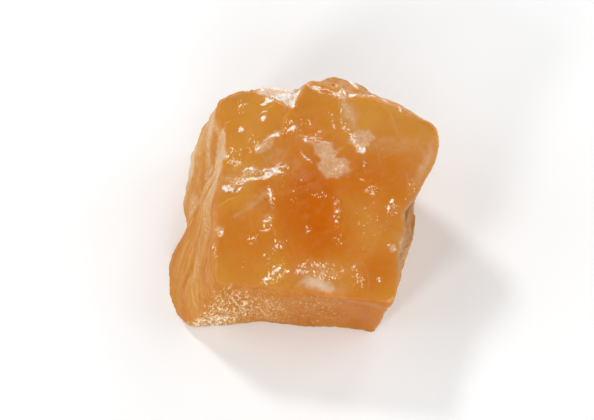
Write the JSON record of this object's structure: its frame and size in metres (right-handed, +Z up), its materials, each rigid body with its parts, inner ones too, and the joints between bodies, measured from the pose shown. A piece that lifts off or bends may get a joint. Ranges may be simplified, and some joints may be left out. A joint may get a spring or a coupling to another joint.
{
  "type": "raw orange calcite",
  "caption": "Raw broken chunk of translucent orange calcite with slanting cleavage faces, a low terrace, curved break scars and a flat resting face.",
  "frame": {"origin": "centre of the chunk's overall footprint, on the plane of its resting face", "axes": "+X to the right along the longest extent, +Y to the back, +Z up from the resting face"},
  "size_m": [0.0544, 0.0456, 0.0304],
  "materials": {
    "calcite": "waxy translucent, with frosted bruises"
  },
  "bodies": {
    "root": {"orange_calcite": "calcite"}
  },
  "joints": []
}
